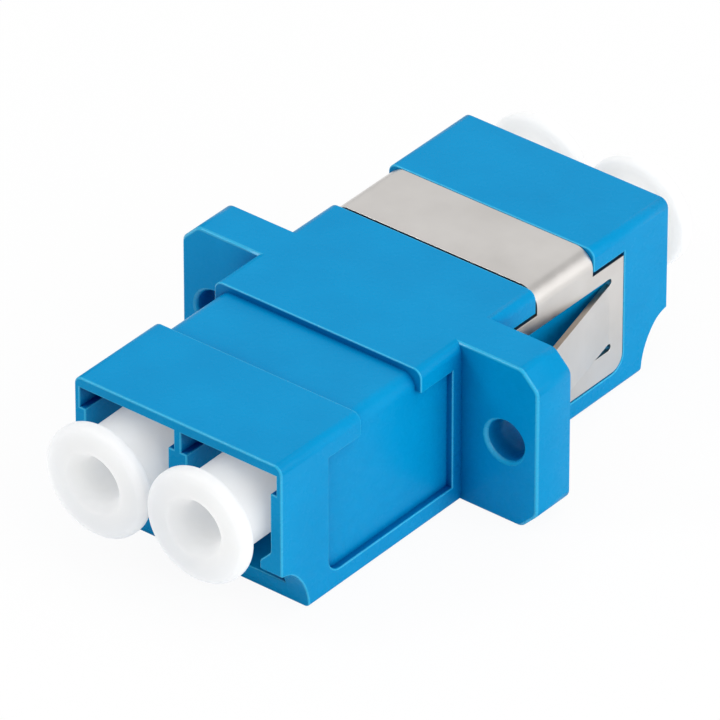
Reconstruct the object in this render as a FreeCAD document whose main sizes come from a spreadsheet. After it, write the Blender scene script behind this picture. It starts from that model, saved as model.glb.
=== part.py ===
"""Duplex LC fibre adapter: two like housing halves welded at the flange, a panel clip, sleeves and dust caps.

The frame is in millimetres. X runs across the two ports, Y along the fibres and Z up. The origin is at the
underside, midway between the ports, in the plane where the two halves meet.
"""

import FreeCAD, Part

import math
import os

import Sketcher

SIZES = {
    # Housing block: one half reaches from the weld plane to its own mouth.
    "body_width": 12.74,
    "body_height": 9.1,
    "half_length": 15.0,
    "top_edge_radius": 0.5,
    "bottom_edge_radius": 0.3,
    "mouth_edge_bevel": 0.1,
    # Flange with two ears.
    "flange_width": 22.0,
    "flange_thickness": 2.7,
    "ear_corner": 1.0,
    "ear_corner_radius": 0.6,
    "ear_edge_bevel": 0.15,
    "screw_inset": 2.0,
    "screw_hole": 2.2,
    "screw_hole_rim": 0.2,
    # Pins and sockets that line the halves up for welding.
    "pin_diameter": 0.9,
    "pin_length": 0.7,
    "pin_clearance": 0.05,
    "pin_pitch": 14.6,
    "pin_rise": 1.7,
    # Finger notch under each mouth.
    "notch_depth": 2.05,
    "notch_height": 2.8,
    "notch_upper_radius": 1.5,
    # Seat of the panel clip, on both halves alike.
    "seat_depth": 0.36,
    "seat_start": 2.0,
    "seat_end": 11.45,
    "seat_bottom": 1.1,
    "seat_top": 7.82,
    "seat_corner": 0.9,
    "strip_start": 4.45,
    "strip_end": 9.0,
    "strip_edge_radius": 0.7,
    # Ports: a relieved mouth, then the cavity that guides the plug.
    "port_pitch": 6.25,
    "axis_height": 5.8,
    "mouth_width": 5.1,
    "mouth_depth": 3.0,
    "mouth_roof": 0.6,
    "groove_depth": 0.35,
    "groove_height": 1.1,
    "plug_width": 4.66,
    "plug_height": 4.66,
    "ledge_height": 4.0,
    "ledge_rounding": 0.3,
    "latch_slot_width": 3.8,
    "floor_thickness": 1.0,
    "catch_depth": 4.8,
    "catch_length": 2.8,
    # Web and barrels that hold the alignment sleeves.
    "web_thickness": 1.4,
    "barrel_diameter": 2.9,
    "barrel_reach": 4.6,
    "barrel_edge": 0.2,
    "ferrule_bore": 1.4,
    "funnel": 0.3,
    # Alignment sleeves.
    "sleeve_outer": 1.62,
    "sleeve_bore": 1.25,
    "sleeve_length": 6.8,
    "sleeve_slit": 0.25,
    "sleeve_play": 0.05,
    # Panel clip, folded from one sheet.
    "sheet_thickness": 0.3,
    "clip_play": 0.03,
    "clip_front_gap": 0.13,
    "clip_rear_gap": 0.03,
    "clip_bottom_gap": 0.08,
    "clip_top_gap": 0.2,
    "tongue_bottom": 3.0,
    "tongue_height": 3.4,
    "tongue_root": 1.15,
    "tongue_reach": 6.75,
    "tongue_rise": 1.63,
    "tongue_bend": 0.8,
    "tongue_slit": 0.4,
    "slit_end_flat": 0.02,
    # Dust caps.
    "cap_stand_off": 1.7,
    "cap_flange": 6.1,
    "cap_flange_thickness": 0.9,
    "cap_flange_edge": 0.3,
    "cap_neck": 4.3,
    "cap_root_bevel": 0.3,
    "cap_tip_edge": 0.3,
    "cap_end_gap": 0.6,
    "cap_grip_play": 0.04,
    "cap_well_bore": 2.8,
    "cap_well_depth": 5.5,
    "cap_bore_edge": 0.25,
    "cap_membrane": 1.0,
}

# Lengths closer than this are one and the same.
SAME = 1e-4

doc = FreeCAD.newDocument("fibre_adapter")
sheet = doc.addObject("Spreadsheet::Sheet", "Sizes")
for row, (alias, number) in enumerate(SIZES.items(), start=1):
    sheet.set("A%d" % row, alias)
    sheet.set("B%d" % row, str(number))
    sheet.setAlias("B%d" % row, alias)
doc.recompute()


# Sketching helpers. Sizes are given as text in the sheet's words, such as "port_pitch / 2".


def bound(text):
    """The text with each of the sheet's words made a reference to its cell."""
    spaced = text.replace("(", " ( ").replace(")", " ) ")
    return " ".join("Sizes." + word if word in SIZES else word for word in spaced.split())


def value(text):
    """What the text comes to with the sheet's numbers."""
    return float(sheet.evalExpression(bound(text)))


def origin_plane(body, role):
    """One of the body's own origin planes."""
    return next(item for item in body.Origin.OriginFeatures if item.Role == role)


def sketch_on(body, name, role, across="0", up="0", out="0"):
    """A sketch on an origin plane, with its origin moved across, up and out of that plane."""
    sketch = body.newObject("Sketcher::SketchObject", name)
    sketch.AttachmentSupport = [(origin_plane(body, role), "")]
    sketch.MapMode = "FlatFace"
    for axis, shift in zip("xyz", (across, up, out)):
        sketch.setExpression("AttachmentOffset.Base." + axis, bound(shift))
    return sketch


def fix(sketch, kind, geometry, end, text):
    """Holds one coordinate of a sketch point at its signed distance from the sketch's origin."""
    distance = value(text)
    if abs(distance) < SAME:
        axis = -2 if kind == "DistanceX" else -1
        sketch.addConstraint(Sketcher.Constraint("PointOnObject", geometry, end, axis))
        return
    if distance > 0:
        constraint = Sketcher.Constraint(kind, -1, 1, geometry, end, distance)
        expression = bound(text)
    else:
        constraint = Sketcher.Constraint(kind, geometry, end, -1, 1, -distance)
        expression = "-( " + bound(text) + " )"
    index = sketch.addConstraint(constraint)
    sketch.setExpression("Constraints[%d]" % index, expression)


def hold(sketch, kind, geometry, text):
    """Gives an arc or a circle its radius or diameter."""
    index = sketch.addConstraint(Sketcher.Constraint(kind, geometry, value(text)))
    sketch.setExpression("Constraints[%d]" % index, bound(text))


def outline(sketch, corners):
    """A closed outline; each corner is (across, up) or, where it is rounded, (across, up, radius)."""
    count = len(corners)
    spots = [FreeCAD.Vector(value(corner[0]), value(corner[1]), 0) for corner in corners]
    headings = [(spots[(i + 1) % count] - spots[i]).normalize() for i in range(count)]
    turns = [headings[i - 1].getAngle(headings[i]) for i in range(count)]
    radii = [value(corner[2]) if len(corner) == 3 else 0 for corner in corners]
    cuts = [radius * math.tan(turn / 2) for radius, turn in zip(radii, turns)]
    lines = []
    for i in range(count):
        following = (i + 1) % count
        start = spots[i] + headings[i] * cuts[i]
        finish = spots[following] - headings[i] * cuts[following]
        lines.append(sketch.addGeometry(Part.LineSegment(start, finish)))
    for i, corner in enumerate(corners):
        before, after = lines[i - 1], lines[i]
        if len(corner) == 2:
            sketch.addConstraint(Sketcher.Constraint("Coincident", before, 2, after, 1))
            fix(sketch, "DistanceX", after, 1, corner[0])
            fix(sketch, "DistanceY", after, 1, corner[1])
            continue
        tip = sketch.addGeometry(Part.Point(spots[i]), True)
        sketch.addConstraint(Sketcher.Constraint("PointOnObject", tip, 1, before))
        sketch.addConstraint(Sketcher.Constraint("PointOnObject", tip, 1, after))
        fix(sketch, "DistanceX", tip, 1, corner[0])
        fix(sketch, "DistanceY", tip, 1, corner[1])
        arriving = spots[i] - headings[i - 1] * cuts[i]
        leaving = spots[i] + headings[i] * cuts[i]
        inward = (headings[i] - headings[i - 1]).normalize()
        reach = radii[i] / math.cos(turns[i] / 2) - radii[i]
        crown = spots[i] + inward * reach
        turns_left = headings[i - 1].cross(headings[i]).z > 0
        ends = (arriving, leaving) if turns_left else (leaving, arriving)
        arc = sketch.addGeometry(Part.Arc(ends[0], crown, ends[1]))
        sketch.addConstraint(Sketcher.Constraint("Tangent", before, 2, arc, 1 if turns_left else 2))
        sketch.addConstraint(Sketcher.Constraint("Tangent", after, 1, arc, 2 if turns_left else 1))
        hold(sketch, "Radius", arc, corner[2])


def circle(sketch, across, up, diameter):
    """A circle of the stated diameter about a point of the sketch."""
    centre = FreeCAD.Vector(value(across), value(up), 0)
    shape = Part.Circle(centre, FreeCAD.Vector(0, 0, 1), value(diameter) / 2)
    geometry = sketch.addGeometry(shape)
    fix(sketch, "DistanceX", geometry, 3, across)
    fix(sketch, "DistanceY", geometry, 3, up)
    hold(sketch, "Diameter", geometry, diameter)


def pad(body, name, sketch, length, reverse=False, middle=False):
    """Adds the sketch's outline along its normal, or against it when reversed."""
    feature = body.newObject("PartDesign::Pad", name)
    feature.Profile = sketch
    feature.setExpression("Length", bound(length))
    feature.Reversed = reverse
    feature.Midplane = middle
    doc.recompute()
    return feature


def pocket(body, name, sketch, length, reverse=False, middle=False):
    """Cuts the sketch's outline against its normal, or along it when reversed."""
    volume = body.Shape.Volume
    feature = body.newObject("PartDesign::Pocket", name)
    feature.Profile = sketch
    feature.setExpression("Length", bound(length))
    feature.Reversed = reverse
    feature.Midplane = middle
    doc.recompute()
    if body.Shape.Volume > volume - SAME:
        raise RuntimeError("%s cuts nothing" % name)
    return feature


def turned(body, name, kind, sketch):
    """Revolves the sketch about its own horizontal axis; kind is Revolution or Groove."""
    feature = body.newObject("PartDesign::" + kind, name)
    feature.Profile = sketch
    feature.ReferenceAxis = (sketch, ["H_Axis"])
    feature.Angle = 360
    doc.recompute()
    return feature


def mirrored(body, name, features):
    """Repeats features on the other side of the X = 0 plane."""
    mirror = body.newObject("PartDesign::Mirrored", name)
    mirror.Originals = features
    mirror.MirrorPlane = (origin_plane(body, "YZ_Plane"), [""])
    body.Tip = mirror
    doc.recompute()
    return mirror


def bevelled(body, name, size, wanted):
    """Bevels the edges of the body's tip that the test picks."""
    base = body.Tip
    edges = ["Edge%d" % (i + 1) for i, edge in enumerate(base.Shape.Edges) if wanted(edge)]
    feature = body.newObject("PartDesign::Chamfer", name)
    feature.Base = (base, edges)
    feature.setExpression("Size", bound(size))
    doc.recompute()


def lies_at(edge, y):
    """True where the whole edge lies in the plane at that Y."""
    box = edge.BoundBox
    return abs(box.YMin - y) < SAME and abs(box.YMax - y) < SAME


# The housing. One half is modelled towards -Y; the other is the same moulding turned half round about Z.


def flange(body):
    """Half the flange's thickness, with cut and rounded corners, and bevelled edges on its outer face."""
    sketch = sketch_on(body, "flange_outline", "XZ_Plane")
    wide, cut, rounding = "flange_width / 2", "ear_corner", "ear_corner_radius"
    outline(sketch, [
        (wide + " - " + cut, "0", rounding),
        (wide, cut, rounding),
        (wide, "body_height - " + cut, rounding),
        (wide + " - " + cut, "body_height", rounding),
        ("-( " + wide + " - " + cut + " )", "body_height", rounding),
        ("-( " + wide + " )", "body_height - " + cut, rounding),
        ("-( " + wide + " )", cut, rounding),
        ("-( " + wide + " - " + cut + " )", "0", rounding),
    ])
    pad(body, "flange", sketch, "flange_thickness / 2")
    face = -value("flange_thickness / 2")
    bevelled(body, "flange_edges", "ear_edge_bevel", lambda edge: lies_at(edge, face))


def block(body):
    """The long block that the ports are in."""
    sketch = sketch_on(body, "block_outline", "XZ_Plane")
    outline(sketch, [
        ("-( body_width / 2 )", "0", "bottom_edge_radius"),
        ("body_width / 2", "0", "bottom_edge_radius"),
        ("body_width / 2", "body_height", "top_edge_radius"),
        ("-( body_width / 2 )", "body_height", "top_edge_radius"),
    ])
    pad(body, "block", sketch, "half_length")


def screw_holes(body):
    """A plain through hole in each ear, its rim bevelled on the outer face."""
    sketch = sketch_on(body, "screw_holes_outline", "XZ_Plane")
    for side in ("flange_width / 2 - screw_inset", "-( flange_width / 2 - screw_inset )"):
        circle(sketch, side, "body_height / 2", "screw_hole")
    pocket(body, "screw_holes", sketch, "flange_thickness", reverse=True)
    face = -value("flange_thickness / 2")

    def rim(edge):
        return lies_at(edge, face) and edge.Closed and isinstance(edge.Curve, Part.Circle)

    bevelled(body, "screw_hole_rims", "screw_hole_rim", rim)


def clip_seat(body):
    """The shallow seat that the panel clip lies in: a recess in each side and a strip over the top."""
    sketch = sketch_on(body, "side_seat_outline", "YZ_Plane", out="body_width / 2")
    outline(sketch, [
        ("-( seat_start )", "seat_bottom"),
        ("-( seat_start )", "seat_top"),
        ("-( seat_end )", "seat_top"),
        ("-( seat_end )", "seat_bottom", "seat_corner"),
    ])
    side = pocket(body, "side_seat", sketch, "seat_depth")
    mirrored(body, "side_seats", [side])

    inner = "body_width / 2 - seat_depth"
    crown = "body_height - seat_depth"
    sketch = sketch_on(body, "strip_outline", "XZ_Plane", out="strip_start")
    outline(sketch, [
        (inner, "seat_top - seat_depth"),
        (inner, crown, "strip_edge_radius"),
        ("-( " + inner + " )", crown, "strip_edge_radius"),
        ("-( " + inner + " )", "seat_top - seat_depth"),
        ("-( body_width )", "seat_top - seat_depth"),
        ("-( body_width )", "body_height + seat_depth"),
        ("body_width", "body_height + seat_depth"),
        ("body_width", "seat_top - seat_depth"),
    ])
    pocket(body, "strip", sketch, "strip_end - strip_start", reverse=True)


def port_outline(body, name, right, out):
    """An outline that is alike on both sides of the right-hand port, given by its right side."""
    corners = [("port_pitch / 2 + " + across, *rest) for across, *rest in right]
    corners += [("port_pitch / 2 - ( " + across + " )", *rest) for across, *rest in reversed(right)]
    sketch = sketch_on(body, name, "XZ_Plane", out=out)
    outline(sketch, corners)
    return sketch


def port(body):
    """One port: its mouth with key grooves, plug cavity, latch slot and catch, barrel and ferrule bore."""
    wide, half, slot = "mouth_width / 2", "plug_width / 2", "latch_slot_width / 2"
    roof, key = "body_height - mouth_roof", "body_height - mouth_roof - groove_height"
    slot_top = "ledge_height - ( " + wide + " - " + slot + " )"
    plug_ledge = "ledge_height - ( " + wide + " - " + half + " )"
    sketch = port_outline(body, "mouth_outline", [
        (wide + " + groove_depth", roof),
        (wide + " + groove_depth", key),
        (wide, key),
        (wide, "ledge_height", "ledge_rounding"),
        (slot, slot_top, "ledge_rounding"),
        (slot, "floor_thickness"),
    ], "half_length")
    mouth = pocket(body, "mouth", sketch, "mouth_depth")

    sketch = port_outline(body, "cavity_outline", [
        (half, "axis_height + plug_height / 2"),
        (half, plug_ledge),
        (slot, slot_top, "ledge_rounding"),
        (slot, "floor_thickness"),
    ], "half_length")
    cavity = pocket(body, "cavity", sketch, "half_length - web_thickness")

    sketch = port_outline(body, "catch_outline", [
        (half, "ledge_height"),
        (half, "floor_thickness"),
    ], "half_length - catch_depth")
    catch = pocket(body, "catch_window", sketch, "catch_length")

    middle = "port_pitch / 2"
    sketch = sketch_on(body, "barrel_profile", "YZ_Plane", up="axis_height", out=middle)
    outline(sketch, [
        ("0", "0"),
        ("0", "barrel_diameter / 2"),
        ("-( barrel_reach - barrel_edge )", "barrel_diameter / 2"),
        ("-( barrel_reach )", "barrel_diameter / 2 - barrel_edge"),
        ("-( barrel_reach )", "0"),
    ])
    barrel = turned(body, "barrel", "Revolution", sketch)

    pocket_radius = "sleeve_outer / 2 + sleeve_play"
    pocket_end = "sleeve_length / 2 + sleeve_play"
    sketch = sketch_on(body, "bore_profile", "YZ_Plane", up="axis_height", out=middle)
    outline(sketch, [
        ("0", "0"),
        ("0", pocket_radius),
        ("-( " + pocket_end + " )", pocket_radius),
        ("-( " + pocket_end + " )", "ferrule_bore / 2"),
        ("-( barrel_reach - funnel )", "ferrule_bore / 2"),
        ("-( barrel_reach )", "ferrule_bore / 2 + funnel"),
        ("-( barrel_reach )", "0"),
    ])
    bore = turned(body, "sleeve_and_ferrule_bore", "Groove", sketch)
    mirrored(body, "both_ports", [mouth, cavity, catch, barrel, bore])


def finger_notch(body):
    """The hollow cut across the underside of the mouth, where a finger reaches the plug's latch."""
    sketch = sketch_on(body, "notch_outline", "YZ_Plane")
    mouth, depth, height = value("half_length"), value("notch_depth"), value("notch_height")
    upper = value("notch_upper_radius")
    # The lower arc stands on the underside and touches the upper one, so its radius follows from the rest.
    lower = (depth**2 + height**2 - 2 * height * upper) / (2 * (depth - upper))
    top = FreeCAD.Vector(-mouth, height, 0)
    foot = FreeCAD.Vector(depth - mouth, 0, 0)
    upper_centre = top - FreeCAD.Vector(0, upper, 0)
    lower_centre = foot - FreeCAD.Vector(lower, 0, 0)
    joint = upper_centre + (upper_centre - lower_centre).normalize() * upper
    corner = FreeCAD.Vector(-mouth, 0, 0)
    upper_arc = arc_between(sketch, joint, top, upper_centre, upper)
    lower_arc = arc_between(sketch, foot, joint, lower_centre, lower)
    back = sketch.addGeometry(Part.LineSegment(top, corner))
    base = sketch.addGeometry(Part.LineSegment(corner, foot))
    for constraint in (
        Sketcher.Constraint("Coincident", upper_arc, 2, back, 1),
        Sketcher.Constraint("Coincident", back, 2, base, 1),
        Sketcher.Constraint("Coincident", base, 2, lower_arc, 1),
        Sketcher.Constraint("Tangent", lower_arc, 2, upper_arc, 1),
        Sketcher.Constraint("Vertical", back),
        Sketcher.Constraint("PointOnObject", upper_arc, 3, back),
        Sketcher.Constraint("PointOnObject", lower_arc, 3, -1),
    ):
        sketch.addConstraint(constraint)
    fix(sketch, "DistanceX", back, 2, "-( half_length )")
    fix(sketch, "DistanceY", back, 2, "0")
    fix(sketch, "DistanceY", back, 1, "notch_height")
    fix(sketch, "DistanceX", base, 2, "-( half_length - notch_depth )")
    hold(sketch, "Radius", upper_arc, "notch_upper_radius")
    pocket(body, "finger_notch", sketch, "flange_width", middle=True)


def arc_between(sketch, start, finish, centre, radius):
    """A counter-clockwise arc of the sketch about a centre."""
    crown = centre + ((start + finish) / 2 - centre).normalize() * radius
    return sketch.addGeometry(Part.Arc(start, crown, finish))


def mouth_edges(body):
    """Bevels the outer rim of the mouth."""
    end = -value("half_length")
    wide, high = value("body_width / 2"), value("body_height")

    def outer(edge):
        box = edge.BoundBox
        at_side = abs(abs(box.XMin) - wide) < SAME or abs(abs(box.XMax) - wide) < SAME
        return lies_at(edge, end) and (at_side or abs(box.ZMax - high) < SAME)

    bevelled(body, "mouth_edges", "mouth_edge_bevel", outer)


def locating_pins(body):
    """Two pins on the weld face and two sockets across from them, which a half turn about Z swaps."""
    low, high = "body_height / 2 - pin_rise", "body_height / 2 + pin_rise"
    sketch = sketch_on(body, "socket_outline", "XZ_Plane")
    circle(sketch, "pin_pitch / 2", high, "pin_diameter + 2 * pin_clearance")
    circle(sketch, "-( pin_pitch / 2 )", low, "pin_diameter + 2 * pin_clearance")
    pocket(body, "sockets", sketch, "pin_length + pin_clearance", reverse=True)
    sketch = sketch_on(body, "pin_outline", "XZ_Plane")
    circle(sketch, "pin_pitch / 2", low, "pin_diameter")
    circle(sketch, "-( pin_pitch / 2 )", high, "pin_diameter")
    pad(body, "pins", sketch, "pin_length", reverse=True)


def housing_half(name, turn):
    """One moulded half of the housing, turned about Z into its place."""
    body = doc.addObject("PartDesign::Body", name)
    flange(body)
    block(body)
    screw_holes(body)
    clip_seat(body)
    finger_notch(body)
    mouth_edges(body)
    port(body)
    locating_pins(body)
    body.Placement = FreeCAD.Placement(FreeCAD.Vector(), FreeCAD.Rotation(FreeCAD.Vector(0, 0, 1), turn))
    return body


def alignment_sleeve(name, side):
    """A split sleeve that lines the two ferrules up; it floats in the barrels of both halves."""
    body = doc.addObject("PartDesign::Body", name)
    sketch = sketch_on(body, "ring_outline", "XZ_Plane")
    circle(sketch, "0", "0", "sleeve_outer")
    circle(sketch, "0", "0", "sleeve_bore")
    pad(body, "ring", sketch, "sleeve_length", middle=True)
    sketch = sketch_on(body, "slit_outline", "XY_Plane")
    outline(sketch, [
        ("-( sleeve_slit / 2 )", "-( sleeve_length )"),
        ("sleeve_slit / 2", "-( sleeve_length )"),
        ("sleeve_slit / 2", "sleeve_length"),
        ("-( sleeve_slit / 2 )", "sleeve_length"),
    ])
    pocket(body, "slit", sketch, "sleeve_outer", reverse=True)
    body.setExpression("Placement.Base.x", bound(side + " * port_pitch / 2"))
    body.setExpression("Placement.Base.z", bound("axis_height"))
    return body


def panel_clip(name):
    """The spring clip on the rear half: a bridge, two side plates and a lanced tongue in each plate."""
    body = doc.addObject("PartDesign::Body", name)
    inner = "body_width / 2 - seat_depth + clip_play"
    outer = inner + " + sheet_thickness"
    under = "body_height - seat_depth + clip_play"
    crown = under + " + sheet_thickness"
    inner_bend = "strip_edge_radius + clip_play"
    outer_bend = inner_bend + " + sheet_thickness"
    plate_top = "seat_top - clip_top_gap"
    plate_rear = "seat_end - clip_rear_gap"
    overlap = plate_top + " - sheet_thickness"

    sketch = sketch_on(body, "bridge_outline", "XZ_Plane", out="-( strip_end - clip_rear_gap )")
    outline(sketch, [
        (outer, overlap),
        (outer, crown, outer_bend),
        ("-( " + outer + " )", crown, outer_bend),
        ("-( " + outer + " )", overlap),
        ("-( " + inner + " )", overlap),
        ("-( " + inner + " )", under, inner_bend),
        (inner, under, inner_bend),
        (inner, overlap),
    ])
    pad(body, "bridge", sketch, "strip_end - clip_rear_gap - strip_start - clip_front_gap")

    sketch = sketch_on(body, "plate_outline", "YZ_Plane", out=inner)
    outline(sketch, [
        ("seat_start + clip_front_gap", "seat_bottom + clip_bottom_gap"),
        (plate_rear, "seat_bottom + clip_bottom_gap", "seat_corner - clip_bottom_gap"),
        (plate_rear, plate_top),
        ("seat_start + clip_front_gap", plate_top),
    ])
    plate = pad(body, "plate", sketch, "sheet_thickness")

    root = plate_rear + " - tongue_root"
    tongue_top = "tongue_bottom + tongue_height"
    rounding = "( tongue_slit - slit_end_flat ) / 2"
    sketch = sketch_on(body, "window_outline", "YZ_Plane", out=outer)
    outline(sketch, [
        (root + " - tongue_reach - tongue_slit", "tongue_bottom - tongue_slit"),
        (root + " + tongue_slit / 2", "tongue_bottom - tongue_slit", rounding),
        (root + " + tongue_slit / 2", "tongue_bottom", rounding),
        (root, "tongue_bottom"),
        (root, tongue_top),
        (root + " + tongue_slit / 2", tongue_top, rounding),
        (root + " + tongue_slit / 2", tongue_top + " + tongue_slit", rounding),
        (root + " - tongue_reach - tongue_slit", tongue_top + " + tongue_slit"),
    ])
    window = pocket(body, "window", sketch, "sheet_thickness")

    sketch = sketch_on(body, "tongue_outline", "XY_Plane", out="tongue_bottom")
    outline(sketch, [
        (outer, root + " + tongue_slit / 2"),
        (inner, root + " + tongue_slit / 2"),
        (inner, root, "tongue_bend"),
        (inner + " + tongue_rise", root + " - tongue_reach"),
        (outer + " + tongue_rise", root + " - tongue_reach"),
        (outer, root, "tongue_bend"),
    ])
    tongue = pad(body, "tongue", sketch, "tongue_height")
    mirrored(body, "both_sides", [plate, window, tongue])
    return body


def dust_cap(name, side, turn):
    """A cap turned about its port's axis: a flange with a blind well, and a neck bored to grip the barrel."""
    body = doc.addObject("PartDesign::Body", name)
    back = "half_length + cap_stand_off"
    front = back + " + cap_flange_thickness"
    tip = "web_thickness + cap_end_gap"
    well_end = front + " - cap_well_depth"
    grip = "barrel_diameter / 2 + cap_grip_play"
    sketch = sketch_on(body, "cap_profile", "YZ_Plane")
    outline(sketch, [
        ("-( " + tip + " )", grip + " + cap_tip_edge / 2"),
        ("-( " + tip + " )", "cap_neck / 2 - cap_tip_edge / 2"),
        ("-( " + tip + " + cap_tip_edge )", "cap_neck / 2"),
        ("-( " + back + " - cap_root_bevel )", "cap_neck / 2"),
        ("-( " + back + " )", "cap_neck / 2 + cap_root_bevel"),
        ("-( " + back + " )", "cap_flange / 2 - cap_flange_edge"),
        ("-( " + back + " + cap_flange_edge )", "cap_flange / 2"),
        ("-( " + front + " - cap_flange_edge )", "cap_flange / 2"),
        ("-( " + front + " )", "cap_flange / 2 - cap_flange_edge"),
        ("-( " + front + " )", "cap_well_bore / 2 + cap_bore_edge"),
        ("-( " + front + " - cap_bore_edge )", "cap_well_bore / 2"),
        ("-( " + well_end + " )", "cap_well_bore / 2"),
        ("-( " + well_end + " )", "0"),
        ("-( " + well_end + " - cap_membrane )", "0"),
        ("-( " + well_end + " - cap_membrane )", grip),
        ("-( " + tip + " + cap_tip_edge )", grip),
    ])
    turned(body, "cap", "Revolution", sketch)
    body.Placement.Rotation = FreeCAD.Rotation(FreeCAD.Vector(0, 0, 1), turn)
    body.setExpression("Placement.Base.x", bound(side + " * port_pitch / 2"))
    body.setExpression("Placement.Base.z", bound("axis_height"))
    return body


pieces = [housing_half("front_half", 0), housing_half("rear_half", 180), panel_clip("panel_clip")]
for hand, side in (("left", "-1"), ("right", "1")):
    pieces.append(alignment_sleeve("alignment_sleeve_" + hand, side))
    pieces.append(dust_cap("front_cap_" + hand, side, 0))
    pieces.append(dust_cap("rear_cap_" + hand, side, 180))
doc.recompute()

for item in doc.Objects:
    if "Invalid" in item.State or "Error" in item.State:
        raise RuntimeError("%s failed: %s" % (item.Label, item.State))
os.makedirs("parts", exist_ok=True)
for piece in pieces:
    if piece.Shape.isNull() or not piece.Shape.isValid():
        raise RuntimeError("%s has no valid shape" % piece.Label)
for piece in pieces:
    piece.Shape.exportStep("parts/%s.step" % piece.Label)
    print("%-24s %9.3f mm3, %d solid" % (piece.Label, piece.Shape.Volume, len(piece.Shape.Solids)))
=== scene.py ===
# Looks for a duplex fibre adapter: a blue moulded housing, a sprung clip, ceramic sleeves and soft dust caps.
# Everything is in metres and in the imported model's own frame: X across the ports, Y along them, Z up.
import math

import bpy
import numpy as np
from mathutils import Matrix, Vector


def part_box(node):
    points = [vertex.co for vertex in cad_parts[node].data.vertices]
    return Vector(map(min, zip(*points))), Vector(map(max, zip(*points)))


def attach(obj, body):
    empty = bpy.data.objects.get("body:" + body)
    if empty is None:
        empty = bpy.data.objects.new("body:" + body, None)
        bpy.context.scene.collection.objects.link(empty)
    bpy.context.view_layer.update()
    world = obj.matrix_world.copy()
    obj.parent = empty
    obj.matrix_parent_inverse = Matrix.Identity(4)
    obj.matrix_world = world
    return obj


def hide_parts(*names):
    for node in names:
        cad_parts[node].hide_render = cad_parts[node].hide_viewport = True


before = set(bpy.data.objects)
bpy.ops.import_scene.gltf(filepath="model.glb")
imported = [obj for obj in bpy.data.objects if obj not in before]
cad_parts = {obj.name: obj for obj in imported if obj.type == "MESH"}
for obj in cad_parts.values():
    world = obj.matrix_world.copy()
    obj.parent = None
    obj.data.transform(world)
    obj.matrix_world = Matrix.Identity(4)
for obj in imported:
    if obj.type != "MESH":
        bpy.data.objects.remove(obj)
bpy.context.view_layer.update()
millimetre = 0.001
print("frame loaded:", len(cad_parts), "nodes")


# Small helpers for materials

def newMaterial(name):
    material = bpy.data.materials.new(name)
    material.use_nodes = True
    tree = material.node_tree
    shader = tree.nodes["Principled BSDF"]
    return material, tree, shader


def addNode(tree, kind, **settings):
    node = tree.nodes.new(kind)
    for key, value in settings.items():
        setattr(node, key, value)
    return node


def objectPlace(tree):
    # where a point lies, in metres
    return addNode(tree, "ShaderNodeTexCoord").outputs["Object"]


def noiseField(tree, vector, scale, detail=3.0):
    noise = addNode(tree, "ShaderNodeTexNoise")
    noise.inputs["Scale"].default_value = scale
    noise.inputs["Detail"].default_value = detail
    tree.links.new(vector, noise.inputs["Vector"])
    return noise.outputs["Fac"]


def spread(tree, value, low=0.0, high=1.0, fromLow=0.3, fromHigh=0.7):
    # carries a field's usual span, or the one given, onto low to high
    ranger = addNode(tree, "ShaderNodeMapRange")
    ranger.inputs["From Min"].default_value = fromLow
    ranger.inputs["From Max"].default_value = fromHigh
    ranger.inputs["To Min"].default_value = low
    ranger.inputs["To Max"].default_value = high
    tree.links.new(value, ranger.inputs["Value"])
    return ranger.outputs["Result"]


def blendColours(tree, factor, first, second):
    mixer = addNode(tree, "ShaderNodeMix", data_type="RGBA")
    mixer.inputs["A"].default_value = (*first, 1)
    mixer.inputs["B"].default_value = (*second, 1)
    tree.links.new(factor, mixer.inputs["Factor"])
    return mixer.outputs["Result"]


def bumpOf(tree, height, distance, under=None, strength=0.5):
    # under is a finer bump that this one lies over
    bump = addNode(tree, "ShaderNodeBump")
    bump.inputs["Strength"].default_value = strength
    bump.inputs["Distance"].default_value = distance
    tree.links.new(height, bump.inputs["Height"])
    if under:
        tree.links.new(under, bump.inputs["Normal"])
    return bump.outputs["Normal"]


def worked(tree, operation, *terms):
    # one step of arithmetic as a node: each term is a number or another node's output
    step = addNode(tree, "ShaderNodeMath", operation=operation)
    for socket, term in zip(step.inputs, terms):
        if isinstance(term, (int, float)):
            socket.default_value = term
        else:
            tree.links.new(term, socket)
    return step.outputs[0]


def roughened(tree, shader, field, look):
    between = spread(tree, field, look["smoothRoughness"], look["dullRoughness"])
    tree.links.new(between, shader.inputs["Roughness"])


def paintedCornerShade(tree, colour, shade):
    # painted shade: the base colour is darkened inside corners, slots and holes of the piece itself, within the
    # reach
    closed = addNode(tree, "ShaderNodeAmbientOcclusion", only_local=True, samples=shade["samples"])
    closed.inputs["Distance"].default_value = shade["reach"]
    openness = spread(tree, closed.outputs["AO"], fromLow=shade["darkest"], fromHigh=shade["lightest"])
    mixer = addNode(tree, "ShaderNodeMix", data_type="RGBA")
    mixer.inputs["A"].default_value = (*shade["colour"], 1)
    tree.links.new(colour, mixer.inputs["B"])
    tree.links.new(openness, mixer.inputs["Factor"])
    return mixer.outputs["Result"]


def dress(piece, *materials):
    piece.data.materials.clear()
    for material in materials:
        piece.data.materials.append(material)


# Blue moulded plastic: an even body colour with faint flow clouds and a fine satin grain, and painted shade in
# its own corners.
# A rounded edge gets a paler blue than the faces beside it: a painted highlight.

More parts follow.
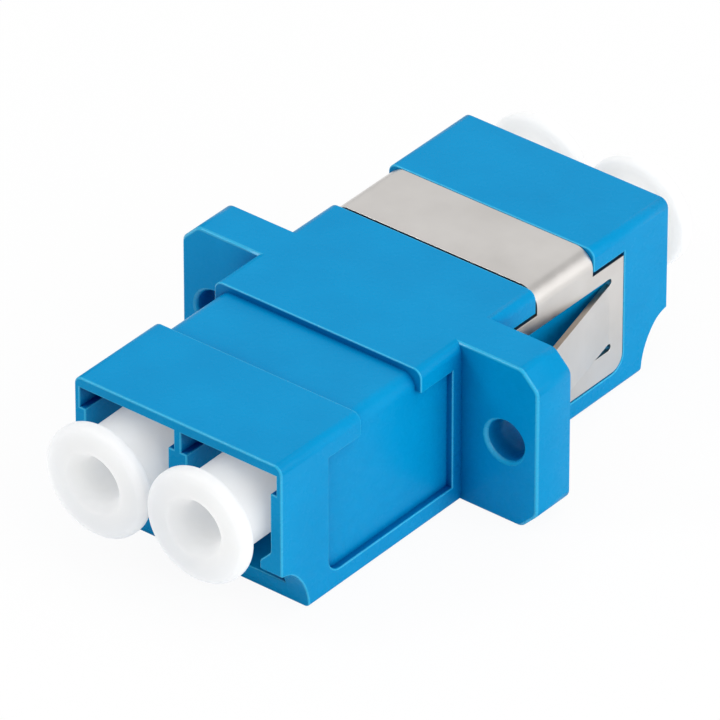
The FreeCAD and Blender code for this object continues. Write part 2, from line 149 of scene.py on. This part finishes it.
bluePlastic = {
    "face": {"deep": (0.000, 0.258, 0.548), "light": (0.000, 0.284, 0.590), "gloss": 0.06},
    # painted highlight: the paler blue given to rounded edges and rims
    "edge": {"deep": (0.010, 0.400, 0.685), "light": (0.014, 0.425, 0.725), "gloss": 0.40},
    # painted shade: inside corners, creases and holes the blue is darkened towards this colour
    "shade": {
        "colour": (0.000, 0.030, 0.210),
        "reach": 2.2 * millimetre,
        "samples": 6,
        "darkest": 0.28,  # share of open sky where the shade is full, and where it ends
        "lightest": 0.95,
    },
    "cloudScale": 260.0,  # scales are in features per metre
    "grainScale": 9000.0,
    "grainHeight": 0.0025 * millimetre,
    "waveScale": 420.0,
    "waveHeight": 0.012 * millimetre,
    "satinScale": 1500.0,
    "smoothRoughness": 0.23,
    "dullRoughness": 0.31,
}


def bluePlasticMaterial(name, tint):
    look = bluePlastic
    material, tree, shader = newMaterial(name)
    place = objectPlace(tree)
    clouds = noiseField(tree, place, look["cloudScale"], detail=4)
    colour = blendColours(tree, spread(tree, clouds), tint["deep"], tint["light"])
    # painted shade darkens the base colour in the piece's own corners and holes
    tree.links.new(paintedCornerShade(tree, colour, look["shade"]), shader.inputs["Base Color"])
    satin = noiseField(tree, place, look["satinScale"])
    roughened(tree, shader, satin, look)
    grain = noiseField(tree, place, look["grainScale"], detail=2)
    wave = noiseField(tree, place, look["waveScale"], detail=1)
    fine = bumpOf(tree, grain, look["grainHeight"])
    tree.links.new(bumpOf(tree, wave, look["waveHeight"], under=fine), shader.inputs["Normal"])
    shader.inputs["Specular IOR Level"].default_value = tint["gloss"]
    return material


# Spring sheet: satin stainless, rolled across the housing, so its fine lines run over the bridge and down
# the plates

springSheet = {
    "rolled": {"bright": (0.74, 0.715, 0.69), "dull": (0.66, 0.635, 0.61)},
    "cut": {"bright": (0.50, 0.43, 0.37), "dull": (0.36, 0.29, 0.24)},
    "lineScale": 1400.0,
    "lineStretch": 0.04,
    "patchScale": 300.0,
    "smoothRoughness": 0.29,
    "dullRoughness": 0.35,
}


def rollingPlace(tree, stretch):
    # how far round the fold a point lies, |x| - z, times the stretch, and how far along Y
    split = addNode(tree, "ShaderNodeSeparateXYZ")
    tree.links.new(objectPlace(tree), split.inputs[0])
    fold = worked(tree, "SUBTRACT", worked(tree, "ABSOLUTE", split.outputs["X"]), split.outputs["Z"])
    place = addNode(tree, "ShaderNodeCombineXYZ")
    tree.links.new(worked(tree, "MULTIPLY", fold, stretch), place.inputs["X"])
    tree.links.new(split.outputs["Y"], place.inputs["Y"])
    return place.outputs[0]


def springSheetMaterial(name, tint):
    look = springSheet
    material, tree, shader = newMaterial(name)
    lines = noiseField(tree, rollingPlace(tree, look["lineStretch"]), look["lineScale"], detail=1)
    patches = noiseField(tree, objectPlace(tree), look["patchScale"], detail=3)
    colour = blendColours(tree, spread(tree, patches), tint["dull"], tint["bright"])
    tree.links.new(colour, shader.inputs["Base Color"])
    roughened(tree, shader, lines, look)
    shader.inputs["Metallic"].default_value = 1
    return material


# Ground zirconia for the sleeves that line the fibres up

ceramic = {
    "pale": (0.86, 0.86, 0.82),
    "warm": (0.80, 0.79, 0.74),
    "patchScale": 900.0,
    "smoothRoughness": 0.18,
    "dullRoughness": 0.28,
}


def ceramicMaterial():
    look = ceramic
    material, tree, shader = newMaterial("groundZirconia")
    patches = noiseField(tree, objectPlace(tree), look["patchScale"])
    colour = blendColours(tree, spread(tree, patches), look["warm"], look["pale"])
    tree.links.new(colour, shader.inputs["Base Color"])
    roughened(tree, shader, patches, look)
    return material


# Soft white plastic for the caps: milky, with a little light passing through, and a painted glow standing in
# for more of it

softWhite = {
    "milky": (0.53, 0.53, 0.53),
    "clear": (0.555, 0.555, 0.555),
    "cloudScale": 500.0,
    "grainScale": 7000.0,
    "grainHeight": 0.003 * millimetre,
    "through": 1.0,
    "depth": 5.0 * millimetre,
    "depthByColour": (1.0, 1.0, 0.95),
    "inner": 0.41,  # painted glow: the caps give out light of their own colour, standing in for light that wanders inside the wall and comes out again
    "smoothRoughness": 0.44,
    "dullRoughness": 0.56,
}


def softWhiteMaterial():
    look = softWhite
    material, tree, shader = newMaterial("softWhite")
    place = objectPlace(tree)
    clouds = noiseField(tree, place, look["cloudScale"], detail=3)
    colour = blendColours(tree, spread(tree, clouds), look["milky"], look["clear"])
    tree.links.new(colour, shader.inputs["Base Color"])
    roughened(tree, shader, clouds, look)
    grain = noiseField(tree, place, look["grainScale"])
    tree.links.new(bumpOf(tree, grain, look["grainHeight"]), shader.inputs["Normal"])
    shader.inputs["Subsurface Weight"].default_value = look["through"]
    shader.inputs["Subsurface Radius"].default_value = look["depthByColour"]
    shader.inputs["Subsurface Scale"].default_value = look["depth"]
    # painted glow: the caps emit their own colour, so they shine without a lamp
    shader.inputs["Emission Color"].default_value = (*look["clear"], 1)
    shader.inputs["Emission Strength"].default_value = look["inner"]
    return material


# Softened edges for the pieces that keep their imported shape. Housing and clip have a second material for some
# of
# their faces: the pale rims of the housing, a painted highlight, and the cut edges of the sheet.

edges = {
    "weldDistance": 0.002 * millimetre,
    "flatAngle": math.radians(0.6),
    "edgeAngle": math.radians(50),
    "smoothAngle": math.radians(50),
    "housingRound": 0.075 * millimetre,
    "clipRound": 0.02 * millimetre,
    "seamHalf": 0.02 * millimetre,
    "segments": 3,
    "flangeRim": {"middle": 1.275 * millimetre, "half": 0.062 * millimetre},
    "mouthRim": {"middle": 14.95 * millimetre, "half": 0.04 * millimetre},
    "cutFacing": 0.9,
    "cutBelow": 8.0 * millimetre,
}


def geometryGroup(name):
    group = bpy.data.node_groups.new(name, "GeometryNodeTree")
    group.interface.new_socket("Geometry", in_out="INPUT", socket_type="NodeSocketGeometry")
    group.interface.new_socket("Geometry", in_out="OUTPUT", socket_type="NodeSocketGeometry")
    return group, addNode(group, "NodeGroupInput"), addNode(group, "NodeGroupOutput")


def axisOf(group, source, axis, absolute=True):
    # one coordinate of the position or the normal
    split = addNode(group, "ShaderNodeSeparateXYZ")
    group.links.new(addNode(group, source).outputs[0], split.inputs["Vector"])
    return worked(group, "ABSOLUTE", split.outputs[axis]) if absolute else split.outputs[axis]


def compared(group, value, operation, limit, epsilon=0.0):
    test = addNode(group, "FunctionNodeCompare", operation=operation)
    test.inputs["B"].default_value = limit
    if epsilon:
        test.inputs["Epsilon"].default_value = epsilon
    group.links.new(value, test.inputs["A"])
    return test.outputs[0]


def joined(group, operation, first, second):
    both = addNode(group, "FunctionNodeBooleanMath", operation=operation)
    group.links.new(first, both.inputs[0])
    group.links.new(second, both.inputs[1])
    return both.outputs[0]


def edgeMarker(name, seamHalf):
    # marks an outward edge for rounding where its faces turn by more than edgeAngle, away from the plane
    # where the halves meet
    group, start, finish = geometryGroup(name)
    angle = addNode(group, "GeometryNodeInputMeshEdgeAngle").outputs["Signed Angle"]
    sharp = compared(group, angle, "GREATER_THAN", edges["edgeAngle"])
    clear = compared(group, axisOf(group, "GeometryNodeInputPosition", "Y"), "GREATER_THAN", seamHalf)
    store = addNode(group, "GeometryNodeStoreNamedAttribute", data_type="FLOAT", domain="EDGE")
    store.inputs["Name"].default_value = "bevel_weight_edge"
    group.links.new(joined(group, "AND", sharp, clear), store.inputs["Value"])
    group.links.new(start.outputs[0], store.inputs["Geometry"])
    group.links.new(store.outputs["Geometry"], finish.inputs[0])
    return group


def rimFaces(group):
    # the bevels round the flange and the mouths lie at known distances from the weld plane
    along = axisOf(group, "GeometryNodeInputPosition", "Y")
    rims = (edges["flangeRim"], edges["mouthRim"])
    flange, mouth = (compared(group, along, "EQUAL", rim["middle"], rim["half"]) for rim in rims)
    return joined(group, "OR", flange, mouth)


def cutFaces(group):
    # a cut face of the sheet looks along Y, or along Z below the bridge
    ends = compared(group, axisOf(group, "GeometryNodeInputNormal", "Y"), "GREATER_THAN", edges["cutFacing"])
    flat = compared(group, axisOf(group, "GeometryNodeInputNormal", "Z"), "GREATER_THAN", edges["cutFacing"])
    height = axisOf(group, "GeometryNodeInputPosition", "Z", absolute=False)
    low = compared(group, height, "LESS_THAN", edges["cutBelow"])
    return joined(group, "OR", ends, joined(group, "AND", flat, low))


def facePainter(name, pick):
    # gives the picked faces the second material
    group, start, finish = geometryGroup(name)
    paint = addNode(group, "GeometryNodeSetMaterialIndex")
    paint.inputs["Material Index"].default_value = 1
    group.links.new(pick(group), paint.inputs["Selection"])
    group.links.new(start.outputs[0], paint.inputs["Geometry"])
    group.links.new(paint.outputs["Geometry"], finish.inputs[0])
    return group


def smoothShader():
    # shades every face smooth, and leaves an edge crisp where its faces turn by more than smoothAngle
    group, start, finish = geometryGroup("smoothByAngle")
    faces = addNode(group, "GeometryNodeSetShadeSmooth", domain="FACE")
    crisp = addNode(group, "GeometryNodeSetShadeSmooth", domain="EDGE")
    crisp.inputs["Shade Smooth"].default_value = False
    angle = addNode(group, "GeometryNodeInputMeshEdgeAngle").outputs["Unsigned Angle"]
    group.links.new(compared(group, angle, "GREATER_THAN", edges["smoothAngle"]), crisp.inputs["Selection"])
    group.links.new(start.outputs[0], faces.inputs["Geometry"])
    group.links.new(faces.outputs["Geometry"], crisp.inputs["Geometry"])
    group.links.new(crisp.outputs["Geometry"], finish.inputs[0])
    return group


def softenEdges(piece, width, marker, painter=None, roundSlot=-1):
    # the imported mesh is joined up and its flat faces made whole, so that the rounding has clean edges
    weld = piece.modifiers.new("weld", "WELD")
    weld.merge_threshold = edges["weldDistance"]
    flats = piece.modifiers.new("flats", "DECIMATE")
    flats.decimate_type = "DISSOLVE"
    flats.angle_limit = edges["flatAngle"]
    if painter:
        piece.modifiers.new("paint", "NODES").node_group = painter
    piece.modifiers.new("marks", "NODES").node_group = marker
    rounding = piece.modifiers.new("rounding", "BEVEL")
    rounding.limit_method = "WEIGHT"
    rounding.width = width
    rounding.segments = edges["segments"]
    rounding.use_clamp_overlap = False
    rounding.material = roundSlot
    piece.modifiers.new("shading", "NODES").node_group = smoother
    normals = piece.modifiers.new("normals", "WEIGHTED_NORMAL")
    normals.keep_sharp = True


smoother = smoothShader()
housingMarker = edgeMarker("housingEdges", edges["seamHalf"])
clipMarker = edgeMarker("clipEdges", 0)
blue = bluePlasticMaterial("bluePlastic", bluePlastic["face"])
bluePaintedHighlight = bluePlasticMaterial("bluePlasticPaintedHighlight", bluePlastic["edge"])
rolled = springSheetMaterial("springSheet", springSheet["rolled"])
cut = springSheetMaterial("springSheetCut", springSheet["cut"])
zirconia, white = ceramicMaterial(), softWhiteMaterial()
# painted highlight: the housing's rims and rounded bevels take the paler blue in slot 1
highlightRimPainter = facePainter("housingHighlightRims", rimFaces)
for node in ("front_half", "rear_half"):
    dress(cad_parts[node], blue, bluePaintedHighlight)
    softenEdges(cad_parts[node], edges["housingRound"], housingMarker, highlightRimPainter, roundSlot=1)
dress(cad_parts["panel_clip"], rolled, cut)
softenEdges(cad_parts["panel_clip"], edges["clipRound"], clipMarker, facePainter("clipCuts", cutFaces))
for node in ("alignment_sleeve_left", "alignment_sleeve_right"):
    dress(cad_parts[node], zirconia)
    softenEdges(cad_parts[node], edges["clipRound"], clipMarker)
print("housing, clip and sleeves dressed")


# Dust caps: one rounded outline turned about the port's axis

capForm = {
    "flangeThickness": 0.90 * millimetre,
    "flangeInnerRound": 0.30 * millimetre,
    "flangeOuterRound": 0.38 * millimetre,
    "neckRadius": 2.20 * millimetre,
    "rootRound": 0.42 * millimetre,
    "wellMouthRadius": 1.66 * millimetre,
    "throatRadius": 1.18 * millimetre,
    "throatDepth": 0.60 * millimetre,
    "wellEndRadius": 1.12 * millimetre,
    "wellLipRound": 0.28 * millimetre,
    "throatRound": 0.90 * millimetre,
    "wellEndRound": 0.45 * millimetre,
    "wellDepth": 5.5 * millimetre,
    "membrane": 1.0 * millimetre,
    "gripRadius": 1.51 * millimetre,
    "tipRound": 0.22 * millimetre,
    "smallRound": 0.08 * millimetre,
    "arcSteps": 9,
    "turns": 144,
}


def roundedOutline(corners, steps):
    # each corner, (along, out, radius), becomes an arc of its radius that is tangent to both of its sides:
    # centre = corner + (unit vector along the bisector) * radius / sin(half the inner angle)
    corners = np.asarray(corners, float)
    points, radii = corners[:, :2], corners[:, 2]
    outline = [points[:1]]
    for index in range(1, len(points) - 1):
        corner, radius = points[index], radii[index]
        back = points[index - 1] - corner
        ahead = points[index + 1] - corner
        back, ahead = back / np.linalg.norm(back), ahead / np.linalg.norm(ahead)
        half = math.acos(np.clip(back @ ahead, -1, 1)) / 2
        bisector = (back + ahead) / np.linalg.norm(back + ahead)
        centre = corner + bisector * radius / math.sin(half)
        first = corner + back * radius / math.tan(half) - centre
        last = corner + ahead * radius / math.tan(half) - centre
        sweep = math.atan2(first[0] * last[1] - first[1] * last[0], first @ last)
        angles = np.linspace(0, sweep, steps)
        cosines, sines = np.cos(angles), np.sin(angles)
        outline.append(centre + np.column_stack([
            first[0] * cosines - first[1] * sines,
            first[0] * sines + first[1] * cosines,
        ]))
    outline.append(points[-1:])
    return np.vstack(outline)


def turnedMesh(name, outline, turns, axis):
    # point(s, t) = axis * along(s) + radius(s) * (sideways * cos t + upright * sin t)
    # the outline runs from the axis to the axis, so its two ends are single points and the surface is closed
    axis = np.asarray(axis, float)
    sideways = np.array([1.0, 0.0, 0.0])
    upright = np.cross(axis, sideways)
    angles = np.linspace(0, 2 * np.pi, turns, endpoint=False)
    ring = np.cos(angles)[:, None] * sideways + np.sin(angles)[:, None] * upright
    rows = outline[1:-1]
    grid = rows[:, 0][:, None, None] * axis + rows[:, 1][:, None, None] * ring[None]
    poles = outline[[0, -1], 0][:, None] * axis
    places = np.vstack([grid.reshape(-1, 3), poles])
    row, column = np.meshgrid(np.arange(len(rows) - 1), np.arange(turns), indexing="ij")
    here, beside = row * turns + column, row * turns + (column + 1) % turns
    quads = np.stack([here, beside, beside + turns, here + turns], axis=-1).reshape(-1, 4)
    spin = np.arange(turns)
    following = (spin + 1) % turns
    firstPole, lastPole = len(rows) * turns, len(rows) * turns + 1
    lastRow = (len(rows) - 1) * turns
    startFan = np.column_stack([np.full(turns, firstPole), following, spin])
    endFan = np.column_stack([np.full(turns, lastPole), lastRow + spin, lastRow + following])
    mesh = bpy.data.meshes.new(name)
    mesh.from_pydata(places.tolist(), [], quads.tolist() + startFan.tolist() + endFan.tolist())
    mesh.shade_smooth()
    mesh.update()
    return mesh


def dustCap(name, node, lean):
    form = capForm
    low, high = (np.array(corner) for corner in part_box(node))
    middle = (low + high) / 2
    outward = -1.0 if middle[1] < 0 else 1.0
    tipY, frontY = (high[1], low[1]) if outward < 0 else (low[1], high[1])
    length = abs(frontY - tipY)
    flangeRadius = (high[0] - low[0]) / 2
    back, wellEnd = length - form["flangeThickness"], length - form["wellDepth"]
    inside = wellEnd - form["membrane"]
    throat = length - form["throatDepth"]
    outline = roundedOutline([
        (inside, 0, 0),
        (inside, form["gripRadius"], form["smallRound"]),
        (0, form["gripRadius"], form["smallRound"]),
        (0, form["neckRadius"], form["tipRound"]),
        (back, form["neckRadius"], form["rootRound"]),
        (back, flangeRadius, form["flangeInnerRound"]),
        (length, flangeRadius, form["flangeOuterRound"]),
        (length, form["wellMouthRadius"], form["wellLipRound"]),
        (throat, form["throatRadius"], form["throatRound"]),
        (wellEnd, form["wellEndRadius"], form["wellEndRound"]),
        (wellEnd, 0, 0),
    ], form["arcSteps"])
    mesh = turnedMesh(name, outline, form["turns"], (0, outward, 0))
    # the cap leans a little about its tip, where it grips the barrel
    tilt = Matrix.Rotation(lean["up"] * outward, 4, "X") @ Matrix.Rotation(-lean["aside"] * outward, 4, "Z")
    mesh.transform(Matrix.Translation((middle[0], tipY - lean["inwards"] * outward, middle[2])) @ tilt)
    piece = bpy.data.objects.new(name, mesh)
    bpy.context.scene.collection.objects.link(piece)
    dress(piece, white)
    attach(piece, node)
    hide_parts(node)
    return piece


capLeans = {
    "front_cap_left": {"up": math.radians(-1.1), "aside": 0.0, "inwards": 0.06 * millimetre},
    "front_cap_right": {"up": math.radians(-0.6), "aside": 0.0, "inwards": 0.04 * millimetre},
    "rear_cap_left": {"up": math.radians(0.8), "aside": math.radians(-0.5), "inwards": 0.14 * millimetre},
    "rear_cap_right": {"up": math.radians(0.8), "aside": math.radians(-0.6), "inwards": 0.14 * millimetre},
}
for node, lean in capLeans.items():
    side, _, hand = node.split("_")
    dustCap(side + "Cap" + hand.capitalize(), node, lean)
print("dust caps turned")


# Studio: pale floor and backdrop, soft lamps, and a long lens

studio = {
    "floorSize": 1.2,
    "floorDrop": 0.02 * millimetre,
    "floorColour": (0.90, 0.90, 0.90),
    "floorRoughness": 0.9,
    "floorGlow": 0.93,
    "worldStrength": 0.60,
}


def paleFloor():
    material, tree, shader = newMaterial("paleFloor")
    shader.inputs["Base Color"].default_value = (*studio["floorColour"], 1)
    shader.inputs["Roughness"].default_value = studio["floorRoughness"]
    glow = addNode(tree, "ShaderNodeEmission")
    glow.inputs["Color"].default_value = (1, 1, 1, 1)
    glow.inputs["Strength"].default_value = 1
    path = addNode(tree, "ShaderNodeLightPath")
    seen = worked(tree, "MULTIPLY", path.outputs["Is Camera Ray"], studio["floorGlow"])
    mixer = addNode(tree, "ShaderNodeMixShader")
    tree.links.new(seen, mixer.inputs[0])
    tree.links.new(shader.outputs[0], mixer.inputs[1])
    tree.links.new(glow.outputs[0], mixer.inputs[2])
    tree.links.new(mixer.outputs[0], tree.nodes["Material Output"].inputs["Surface"])
    half = studio["floorSize"] / 2
    mesh = bpy.data.meshes.new("floor")
    low = -studio["floorDrop"]
    corners = [(-half, -half, low), (half, -half, low), (half, half, low), (-half, half, low)]
    mesh.from_pydata(corners, [], [(0, 1, 2, 3)])
    floor = bpy.data.objects.new("floor", mesh)
    bpy.context.scene.collection.objects.link(floor)
    dress(floor, material)
    return floor


def paleWorld():
    world = bpy.data.worlds.new("studioWorld")
    world.use_nodes = True
    tree = world.node_tree
    background = tree.nodes["Background"]
    background.inputs["Color"].default_value = (1, 1, 1, 1)
    path = addNode(tree, "ShaderNodeLightPath")
    strength = addNode(tree, "ShaderNodeMapRange")
    strength.inputs["To Min"].default_value = studio["worldStrength"]
    strength.inputs["To Max"].default_value = 1
    tree.links.new(path.outputs["Is Camera Ray"], strength.inputs["Value"])
    tree.links.new(strength.outputs["Result"], background.inputs["Strength"])
    bpy.context.scene.world = world


lamps = {
    "frontLeft": {"azimuth": -43, "elevation": 42, "distance": 0.35, "size": 0.10, "power": 0.24},
    "frontRight": {"azimuth": 76, "elevation": 30, "distance": 0.40, "size": 0.26, "power": 0.40},
    "rightSide": {"azimuth": 108, "elevation": 20, "distance": 0.35, "size": 0.30, "power": 0.42},
    "rearLeft": {"azimuth": -141, "elevation": 38, "distance": 0.45, "size": 0.50, "power": 0.19},
    "overhead": {"azimuth": 90, "elevation": 80, "distance": 0.35, "size": 0.20, "power": 0.18},
}


def skyDirection(azimuth, elevation):
    # azimuth 0 stands in front, at -Y, and turns towards +X
    around, above = math.radians(azimuth), math.radians(elevation)
    return Vector((math.sin(around) * math.cos(above), -math.cos(around) * math.cos(above), math.sin(above)))


def placeFacing(name, data, target, seat):
    # stands the given distance from the target and looks at it
    holder = bpy.data.objects.new(name, data)
    direction = skyDirection(seat["azimuth"], seat["elevation"])
    holder.location = target + direction * seat["distance"]
    holder.rotation_euler = direction.to_track_quat("Z", "Y").to_euler()
    bpy.context.scene.collection.objects.link(holder)
    return holder


def hangLamps(target):
    for name, lamp in lamps.items():
        light = bpy.data.lights.new(name, "AREA")
        light.shape = "SQUARE"
        light.size = lamp["size"]
        light.energy = lamp["power"]
        placeFacing(name, light, target, lamp)


view = {
    "azimuth": 38.75,
    "elevation": 33.69,
    "distance": 0.52569,
    "lens": 542.92,
    "sensor": 36.0,
    "nearest": 0.01,
    "farthest": 10.0,
    "aim": (-0.00081, -0.000155, 0.00454),
}


def placeCamera(target):
    camera = bpy.data.cameras.new("camera")
    camera.lens = view["lens"]
    camera.sensor_width = view["sensor"]
    camera.clip_start = view["nearest"]
    camera.clip_end = view["farthest"]
    bpy.context.scene.camera = placeFacing("camera", camera, target, view)


paleFloor()
paleWorld()
aim = Vector(view["aim"])
hangLamps(aim)
placeCamera(aim)
bpy.context.scene.view_settings.view_transform = "Standard"
print("studio lit")
